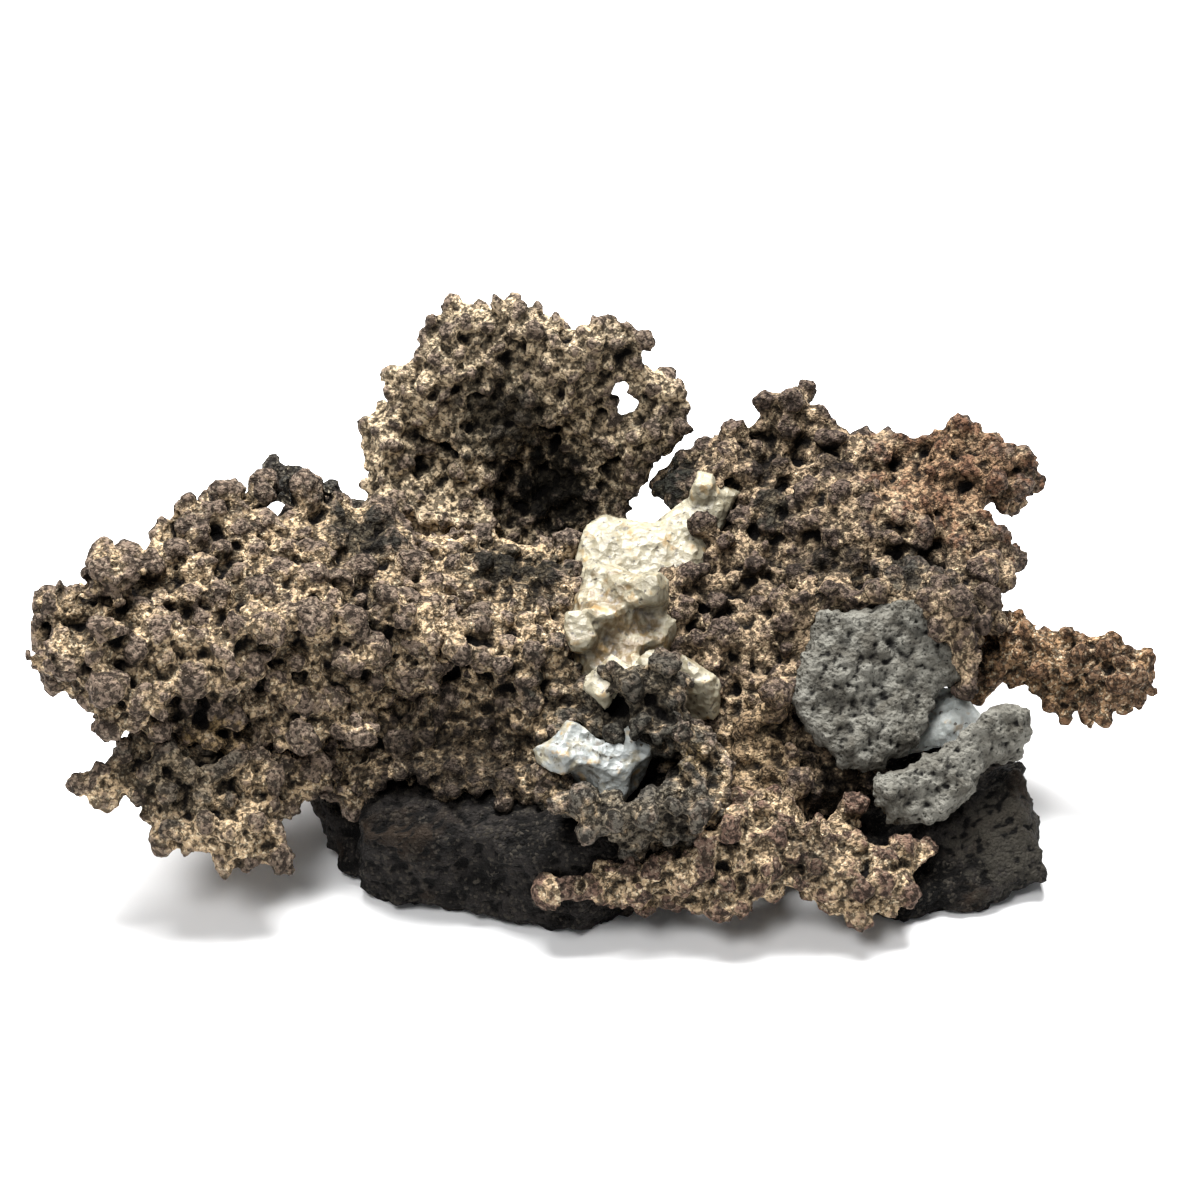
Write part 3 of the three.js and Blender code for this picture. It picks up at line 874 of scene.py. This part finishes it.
@dataclass(frozen=True)
class Nodules:
    """How silver nodules cover a branch, in millimetres.

    Attributes:
        large: the least distance between two large nodules, and the smallest and largest radius.
        small: the same for small ones.
        sink: how deep the middles of the large and the small ones lie, as a share of the radius, or below
            nought, how far they stand out.
        back: how far the branch itself draws back under them.
        bulge: the size of the branch's own bulges, and how far they reach.
    """

    large: tuple[float, float, float] = (1.9, 0.7, 1.25)
    small: tuple[float, float, float] = (0.9, 0.3, 0.6)
    sink: tuple[float, float] = (-0.25, 0.6)
    back: float = 0.9
    bulge: tuple[float, float] = (4.5, 2.0)

    def values(self) -> dict[str, float]:
        """Names the sizes as the nodule tree's inputs, in metres.

        Returns:
            Each input's value, by the input's name.
        """
        size, height = self.bulge
        sizes = {"Back": self.back * MM, "Bulge size": size * MM, "Bulge height": height * MM}
        for level, (spacing, smallest, largest), sink in zip(LEVELS, (self.large, self.small), self.sink):
            sizes |= {f"{level} spacing": spacing * MM, f"{level} smallest": smallest * MM}
            sizes |= {f"{level} largest": largest * MM, f"{level} sink": sink}
        return sizes


@dataclass(frozen=True)
class Lump:
    """A lump that has grown on its own, beyond the plain solids.

    Attributes:
        right: where one sees it, in millimetres to the right of the picture's middle.
        rise: the same upwards.
        radius: its radius, in millimetres.
        seat: the plain solids that may carry it.
        lift: how far its middle stands out of them, in millimetres.
    """

    right: float
    rise: float
    radius: float
    seat: tuple[str, ...]
    lift: float = 0.3


@dataclass
class Piece:
    """One mineral piece of the specimen, grown from its plain solid.

    Attributes:
        node: the plain solid's name.
        finish: the mineral that it is, and how its surface looks.
        grain: how rough it is.
        voxel: the size of the mesh's cells, in millimetres.
        seed: makes its pattern its own.
        lumps: further lumps that belong to it.
    """

    node: str
    finish: Finish
    grain: Grain = field(default_factory=Grain)
    voxel: float = 0.25
    seed: int = 1
    lumps: tuple[Lump, ...] = ()

    @property
    def name(self) -> str:
        """The finished piece's name."""
        return f"{self.node}_{self.finish.slot.value}"

    @property
    def cell(self) -> float:
        return self.voxel * 1

    def blank(self) -> bpy.types.Object:
        """Copies the plain solid, merged into one closed mesh, and adds the piece's further lumps.

        Returns:
            The copy, in the scene.
        """
        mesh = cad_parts[self.node].data.copy()
        mesh.materials.clear()
        shell = bmesh.new()
        shell.from_mesh(mesh)
        bmesh.ops.remove_doubles(shell, verts=shell.verts, dist=MERGE_DISTANCE)
        for lump in self.lumps:
            place, normal = PICTURE.seat(lump.right, lump.rise, lump.seat)
            self.add_lump(shell, lump.radius * MM, Matrix.Translation(place + normal * lump.lift * MM))
        shell.to_mesh(mesh)
        shell.free()
        mesh.name = self.name
        blank = bpy.data.objects.new(self.name, mesh)
        bpy.context.scene.collection.objects.link(blank)
        return blank

    def add_lump(self, shell: bmesh.types.BMesh, radius: float, seat: Matrix) -> None:
        """Adds a rounded lump to the shell."""
        bmesh.ops.create_icosphere(shell, subdivisions=2, radius=radius, matrix=seat)

    def fuse(self, obj: bpy.types.Object, voxel: float) -> None:
        """Fuses what overlaps into one even skin.

        Args:
            obj: the piece.
            voxel: the size of the skin's cells, in millimetres.
        """
        skin = obj.modifiers.new("skin", "REMESH")
        skin.mode = "VOXEL"
        skin.voxel_size = voxel * MM
        skin.use_smooth_shade = True

    def settle(self, obj: bpy.types.Object) -> None:
        """Turns the modifiers' result into the piece's own mesh, inside the box of the solids.

        Args:
            obj: the piece with its modifiers.
        """
        bpy.context.view_layer.update()
        graph = bpy.context.evaluated_depsgraph_get()
        mesh = bpy.data.meshes.new_from_object(
            obj.evaluated_get(graph), preserve_all_data_layers=True, depsgraph=graph,
        )
        obj.modifiers.clear()
        obj.data = mesh
        mesh.name = obj.name
        for vertex in mesh.vertices:
            vertex.co = Vector(min(max(c, low), high) for c, low, high in zip(vertex.co, CAD_LOW, CAD_HIGH))

    def hand_over(self, obj: bpy.types.Object) -> bpy.types.Object:
        """Tells the frame what the piece is.

        Args:
            obj: the finished piece.

        Returns:
            The same piece.
        """
        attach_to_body(obj, BODY)
        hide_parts(self.node)
        LOG.info("%s: %d points, %d faces", obj.name, len(obj.data.vertices), len(obj.data.polygons))
        return obj

    def shape(self, obj: bpy.types.Object, trees: dict[str, bpy.types.NodeTree], material: Any) -> None:
        """Gives the blank its mineral's own shapes, as each kind of piece does in its own way."""
        raise NotImplementedError

    def build(self, trees: dict[str, bpy.types.NodeTree]) -> bpy.types.Object:
        """Makes the piece.

        Args:
            trees: the geometry trees, by name.

        Returns:
            The finished piece.
        """
        obj = self.blank()
        material = self.finish.material(self.node)
        self.shape(obj, trees, material)
        self.fuse(obj, self.cell)
        attach(obj, trees["grain"], self.grain.values() | {"Seed": self.seed, "Material": material})
        self.settle(obj)
        return self.hand_over(obj)


@dataclass
class BrokenPiece(Piece):
    """A broken lump of rock or calcite, with flat chipped faces.

    Attributes:
        swells: the size of its swells before it is chipped, and how far they reach, in millimetres.
        faces: the share of the faces of its even skin that the chipping leaves.
    """

    swells: tuple[float, float] = (3.5, 1.2)
    faces: float = 0.08

    def add_lump(self, shell: bmesh.types.BMesh, radius: float, seat: Matrix) -> None:
        """Adds a block to the shell, turned by where it sits.

        Args:
            shell: the mesh that gets it.
            radius: half the block's length, near enough, in metres.
            seat: where its middle is.
        """
        place = seat.translation / MM
        turn = Euler((place.x, place.y, place.z)).to_matrix().to_4x4()
        # Its width and its thickness are shares of its length.
        shape = Matrix.Diagonal((1.0, 0.75, 0.55, 1.0))
        bmesh.ops.create_cube(shell, size=2.1 * radius, matrix=seat @ turn @ shape)

    def shape(self, obj: bpy.types.Object, trees: dict[str, bpy.types.NodeTree], material: Any) -> None:
        """Swells the blank and breaks it into flat faces.

        Args:
            obj: the piece.
            trees: the geometry trees, by name.
            material: the piece's finish.
        """
        self.fuse(obj, BODY_CELL)
        size, height = self.swells
        values = {"Broken size": size * MM, "Broken height": height * MM, "Seed": self.seed + 1}
        attach(obj, trees["grain"], values | {"Material": material})
        facets = obj.modifiers.new("facets", "DECIMATE")
        facets.ratio = self.faces


@dataclass
class GrownPiece(Piece):
    """A piece of silver or of its sulphide, covered with nodules.

    Attributes:
        nodules: how they cover it.
        heal: how far the branches have grown together across their grooves, in millimetres.
    """

    nodules: Nodules = field(default_factory=Nodules)
    heal: float = 0.5

    def grow_together(self, obj: bpy.types.Object) -> None:
        """Closes the narrow grooves between the branches: they swell until they meet, and draw back again.

        Args:
            obj: the piece.
        """
        for step in (self.heal, -self.heal):
            self.fuse(obj, BODY_CELL)
            swelling = obj.modifiers.new("swelling", "DISPLACE")
            swelling.mid_level = 0.0
            swelling.strength = step * MM

    def shape(self, obj: bpy.types.Object, trees: dict[str, bpy.types.NodeTree], material: Any) -> None:
        """Grows the branches together and covers them with nodules.

        Args:
            obj: the piece.
            trees: the geometry trees, by name.
            material: the piece's finish.
        """
        self.grow_together(obj)
        attach(obj, trees["nodules"], self.nodules.values() | {"Seed": self.seed, "Material": material})


def silver_pieces() -> list[Piece]:
    """Lists the silver, from the left to the right.

    Returns:
        The pieces, ready to be built.
    """
    lobes = Nodules(large=(2.3, 0.9, 1.55), small=(1.0, 0.35, 0.7), back=1.2, bulge=(5.0, 2.6))
    broad = Nodules(large=(1.9, 0.6, 1.45), bulge=(7.0, 8.0))
    finer = Nodules(large=(1.5, 0.55, 1.0), small=(0.8, 0.28, 0.5), back=0.6, bulge=(3.5, 1.8))
    return [
        GrownPiece(
            "left_lobe", seed=11, nodules=lobes, heal=2.0,
            finish=TarnishedSilver(tops="766659", wear=0.1, tints=(
                # The near-black patch low on the left is painted shade in the hollow under the lobe.
                Tint(-32, -8.4, 3.6, "090705", 0.9), Tint(-30.4, -11.4, 2.6, "9c8258", 0.5),
                Tint(-18.8, 6, 4.5, "1c1f1c", 0.9), Tint(-14, -4.5, 4, "241a13", 0.7),
            )),
            lumps=(
                Lump(-36.0, -9.8, 1.7, LOBE, 1.0), Lump(-33.2, -10.2, 1.7, LOBE, 1.0),
                Lump(-30.8, -10.8, 1.5, LOBE, 1.0),
            ),
        ),
        GrownPiece(
            "lower_left_lobe", seed=12,
            finish=TarnishedSilver(tops="6a5b4e", tints=(Tint(-33, -13.5, 5, "4c4a42", 0.6),)),
            lumps=(
                Lump(-34.8, -11.6, 1.5, LOBES), Lump(-32.8, -11.4, 1.5, LOBES),
                Lump(-30.8, -11.8, 1.5, LOBES), Lump(-28.4, -12.5, 1.5, LOBES),
                Lump(-26.0, -13.2, 1.4, LOBES),
            ),
        ),
        GrownPiece(
            "back_spur", seed=13, nodules=finer,
            finish=TarnishedSilver(tops="3a3834", flanks="4a4338", wear=0.2),
        ),
        GrownPiece(
            "crest", seed=14, nodules=finer, heal=0.7,
            finish=TarnishedSilver(tops="7d6d5f", flanks="cbb595", tints=(
                Tint(-7.6, 14.4, 5, "23251f", 0.75),
                # These two near-black patches are painted shade: in the hollow under the crest's overhang,
                # and in a recess on its left.
                Tint(-3.2, 8.8, 5.5, "0a0c0b", 0.95), Tint(-14.8, 10.8, 3, "0c0f0d", 0.8),
            )),
            lumps=(
                Lump(-4.4, 8.0, 1.3, CREST), Lump(-3.2, 11.6, 1.2, CREST), Lump(-1.2, 13.6, 1.3, CREST),
                Lump(-10.4, 18.7, 1.6, CREST), Lump(-6.6, 17.8, 1.6, CREST),
            ),
        ),
        GrownPiece(
            "central_knot", seed=15, voxel=0.26, heal=1.2,
            finish=TarnishedSilver(tints=(
                # These two dark patches are painted shade: in the recess below the left of the knot, and in
                # the hollow under the crest.
                Tint(-12, -14, 9, "1c1611", 0.85), Tint(-5.5, 7, 5, "141713", 0.9),
                Tint(3, -16, 8, "504e47", 0.85), Tint(2.4, -8.5, 8, "45433c", 0.85, BANKS),
                Tint(7.4, -12.9, 1.6, "a58a5c", 0.5),
            )),
            lumps=(
                Lump(3.8, -0.3, 1.2, KNOT, 3.6), Lump(1.4, -7.5, 1.1, KNOT, 3.2),
                Lump(5.4, -8.3, 1.1, KNOT, 3.0), Lump(-4.2, -14.0, 1.4, KNOT, 0.8),
                Lump(-2.0, -16.0, 1.7, KNOT, 0.6), Lump(0.2, -17.8, 1.8, KNOT, 0.6),
                Lump(3.6, -16.4, 1.8, KNOT, 0.6), Lump(5.2, -14.0, 1.4, KNOT, 0.8),
                Lump(7.4, -13.0, 1.3, KNOT, 0.8), Lump(8.5, -16.4, 1.5, KNOT, 0.6),
                Lump(4.0, -10.2, 1.4, KNOT, 0.8), Lump(6.8, -10.2, 1.4, KNOT, 0.8),
                Lump(-0.8, -10.2, 1.2, KNOT, 0.8),
            ),
        ),
        GrownPiece(
            "wing", seed=16, voxel=0.26, heal=1.0, nodules=broad,
            finish=TarnishedSilver(tops="5f5148", flanks="a08a70", painted_glints="e2cea9", tints=(
                # The near-black patches are painted shade, in the crevices between the wing's lobes and in
                # the gap below the plates.
                Tint(28, 10.5, 8, "80522f", 0.4), Tint(16, 3.5, 2.6, "0d0b09", 0.6),
                Tint(11.6, -11.6, 5, "967c56", 0.4), Tint(19, -16, 4.5, "0d0b09", 0.9),
                Tint(5.6, 9.6, 3.2, "22241f", 0.95), Tint(13, 10.5, 2.2, "0d0b09", 0.7),
                Tint(19, 10.8, 2.2, "0d0b09", 0.7), Tint(13.6, 7.6, 2.6, "24261f", 0.8),
                Tint(18.8, 2.8, 2.6, "191712", 0.8), Tint(25.2, 0.8, 4, "3a3a35", 0.85),
            )),
            lumps=(
                Lump(15.8, -4.4, 2.0, RIM, 0.8), Lump(17.0, -1.8, 2.0, RIM, 0.8),
                Lump(19.4, -0.2, 2.0, RIM, 0.6), Lump(22.4, 0.3, 2.0, RIM, 0.6),
                Lump(25.2, 0.2, 2.0, RIM, 0.6), Lump(27.8, -1.0, 1.9, RIM, 0.8),
                Lump(29.8, -3.2, 2.0, RIM, 0.8), Lump(30.8, -5.8, 1.9, RIM, 0.8),
                Lump(15.4, -7.6, 1.8, RIM, 0.6), Lump(32.0, -8.0, 1.8, RIM, 0.6),
            ),
        ),
        GrownPiece(
            "right_arm", seed=17, nodules=finer,
            finish=TarnishedSilver(tops="70553f", flanks="987a5b"),
        ),
        GrownPiece(
            "apron", seed=18,
            finish=TarnishedSilver(tops="6a5448", tints=(Tint(17, -20, 3, "2a211b", 0.7),)),
        ),
    ]


def other_pieces() -> list[Piece]:
    """Lists the plates, the calcite and the rock.

    Returns:
        The pieces, ready to be built.
    """
    crust = Grain(broken=(1.6, 1.1), coarse=(1.3, 0.3), fine=(0.5, -0.2), wander=0.6)
    flat = Nodules(
        large=(1.2, 0.4, 0.9), small=(0.7, 0.25, 0.4), sink=(0.5, 0.6), back=0.35, bulge=(4.5, 2.6),
    )
    cleaved = Grain(broken=(2.0, 0.6), coarse=(1.6, 0.25), fine=(0.7, 0.12), wander=0.8)
    chipped = Grain(broken=(1.8, 1.5), coarse=(1.6, 0.6), fine=(0.8, 0.4), wander=1.0)
    return [
        GrownPiece("upper_plate", GreySulphide(), crust, voxel=0.22, seed=21, nodules=flat, heal=0.2),
        GrownPiece("lower_plate", GreySulphide(), crust, voxel=0.22, seed=22, nodules=flat, heal=0.2),
        BrokenPiece(
            "calcite_heart", WhiteCalcite(tints=(Tint(0.8, -4.6, 6.5, "5f4b2a", 0.9, BANKS),)),
            cleaved, voxel=0.24, seed=31, swells=(3.5, 1.8),
            lumps=(
                Lump(8.4, 8.4, 1.5, BANKS, 0.2), Lump(-1.4, -0.5, 2.0, BANKS, 1.3),
                Lump(0.5, -0.3, 2.3, BANKS, 1.3), Lump(3.2, 0.2, 2.1, BANKS, 0.9),
                Lump(-1.8, -2.9, 1.9, BANKS, 1.5), Lump(0.3, -2.9, 2.7, BANKS, 1.6),
                Lump(2.7, -2.7, 2.5, BANKS, 1.5), Lump(4.2, -4.0, 1.9, BANKS, 1.2),
                Lump(-0.3, -5.4, 2.3, BANKS, 1.6), Lump(2.1, -5.4, 2.5, BANKS, 1.4),
                Lump(0.8, -7.2, 1.7, BANKS, 1.5), Lump(5.0, -7.2, 1.9, BANKS, 1.2),
                Lump(7.2, -8.2, 1.9, BANKS, 1.2), Lump(7.2, -6.4, 1.5, BANKS, 1.1),
            ),
        ),
        BrokenPiece(
            "calcite_front", WhiteCalcite(tints=(Tint(0, -13, 6, "8d9394", 0.8),)),
            cleaved, voxel=0.24, seed=32,
            lumps=(
                Lump(-3.2, -12.6, 1.7, FRONT, 0.6), Lump(-0.4, -13.0, 1.8, FRONT, 0.6),
                Lump(2.4, -12.4, 1.7, FRONT, 0.6), Lump(-1.8, -11.4, 1.5, FRONT, 0.6),
                Lump(1.0, -14.8, 1.6, FRONT, 0.6),
            ),
        ),
        BrokenPiece(
            # Its bluish tone is its own colour; its extra paleness over the other calcite is painted light,
            # making up for the shade it lies in.
            "calcite_side", WhiteCalcite(body="c6cac6", shade="a2a6a2"), cleaved, voxel=0.26, seed=33,
        ),
        BrokenPiece(
            "dark_rock", DarkRock(tints=(Tint(33, -19, 5, "35322c", 0.8),)), chipped, voxel=0.33, seed=41,
            swells=(6.0, 3.0), faces=0.03,
        ),
    ]


# Studio


@dataclass
class Studio:
    """A pale floor, soft light and the camera.

    Attributes:
        lens: the camera's focal length, in millimetres.
        sensor: how wide its sensor is.
        floor_reach: half the floor's side.
    """

    lens: float = 120.0
    sensor: float = 36.0
    floor_reach: float = 3000.0

    def floor(self) -> None:
        """Lays the pale floor under the specimen."""
        mesh = bpy.data.meshes.new("floor")
        reach = self.floor_reach * MM
        corners = [(-reach, -reach, 0), (reach, -reach, 0), (reach, reach, 0), (-reach, reach, 0)]
        mesh.from_pydata(corners, [], [(0, 1, 2, 3)])
        floor = bpy.data.objects.new("floor", mesh)
        bpy.context.scene.collection.objects.link(floor)
        paper = bpy.data.materials.new("white_paper")
        paper.use_nodes = True
        shader = paper.node_tree.nodes["Principled BSDF"]
        shader.inputs["Base Color"].default_value = linear("f4f4f4")
        shader.inputs["Roughness"].default_value = 0.9
        mesh.materials.append(paper)

    def lamp(self, name: str, azimuth: float, height: float, far: float, size: float, power: float) -> None:
        """Adds a soft square lamp that faces the specimen.

        Args:
            name: the lamp's name.
            azimuth: where it stands round the specimen, in degrees, 0 in front and 90 on the right.
            height: its angle above the horizon, in degrees.
            far: its distance, in millimetres.
            size: its side, in millimetres.
            power: its power, in watts.
        """
        light = bpy.data.lights.new(name, "AREA")
        light.size = size * MM
        light.energy = power
        lamp = bpy.data.objects.new(name, light)
        bpy.context.scene.collection.objects.link(lamp)
        around, above = math.radians(azimuth), math.radians(height)
        level = math.cos(above)
        way = Vector((math.sin(around) * level, -math.cos(around) * level, math.sin(above)))
        lamp.location = PICTURE.middle + way * far * MM
        lamp.rotation_euler = way.to_track_quat("Z", "Y").to_euler()

    def light(self) -> None:
        """Lights the specimen from high behind, with a soft sky all round."""
        world = bpy.data.worlds.new("soft_sky")
        world.use_nodes = True
        sky = world.node_tree.nodes["Background"]
        sky.inputs["Color"].default_value = linear("f6f8fb")
        sky.inputs["Strength"].default_value = 0.25
        bpy.context.scene.world = world
        self.lamp("window", azimuth=190.0, height=72.0, far=600.0, size=380.0, power=14.0)
        self.lamp("front_fill", azimuth=-30.0, height=55.0, far=700.0, size=240.0, power=2.6)
        bpy.context.scene.view_settings.view_transform = "Standard"

    def camera(self) -> None:
        """Sets the camera at the picture's angle."""
        data = bpy.data.cameras.new("camera")
        data.lens = self.lens
        data.sensor_width = self.sensor
        data.clip_start, data.clip_end = 0.01, 20.0
        camera = bpy.data.objects.new("camera", data)
        bpy.context.scene.collection.objects.link(camera)
        camera.location = PICTURE.eye
        camera.rotation_euler = PICTURE.back.to_track_quat("Z", "Y").to_euler()
        bpy.context.scene.camera = camera

    def build(self) -> None:
        """Sets up the whole studio."""
        self.camera()
        self.floor()
        self.light()


def main() -> None:
    """Builds the studio and the specimen, piece by piece."""
    logging.basicConfig(level=logging.INFO, format="%(name)s: %(message)s")
    Studio().build()
    trees = {"nodules": nodule_tree(), "grain": grain_tree()}
    for piece in silver_pieces() + other_pieces():
        piece.build(trees)


if __name__ == "__main__":
    main()
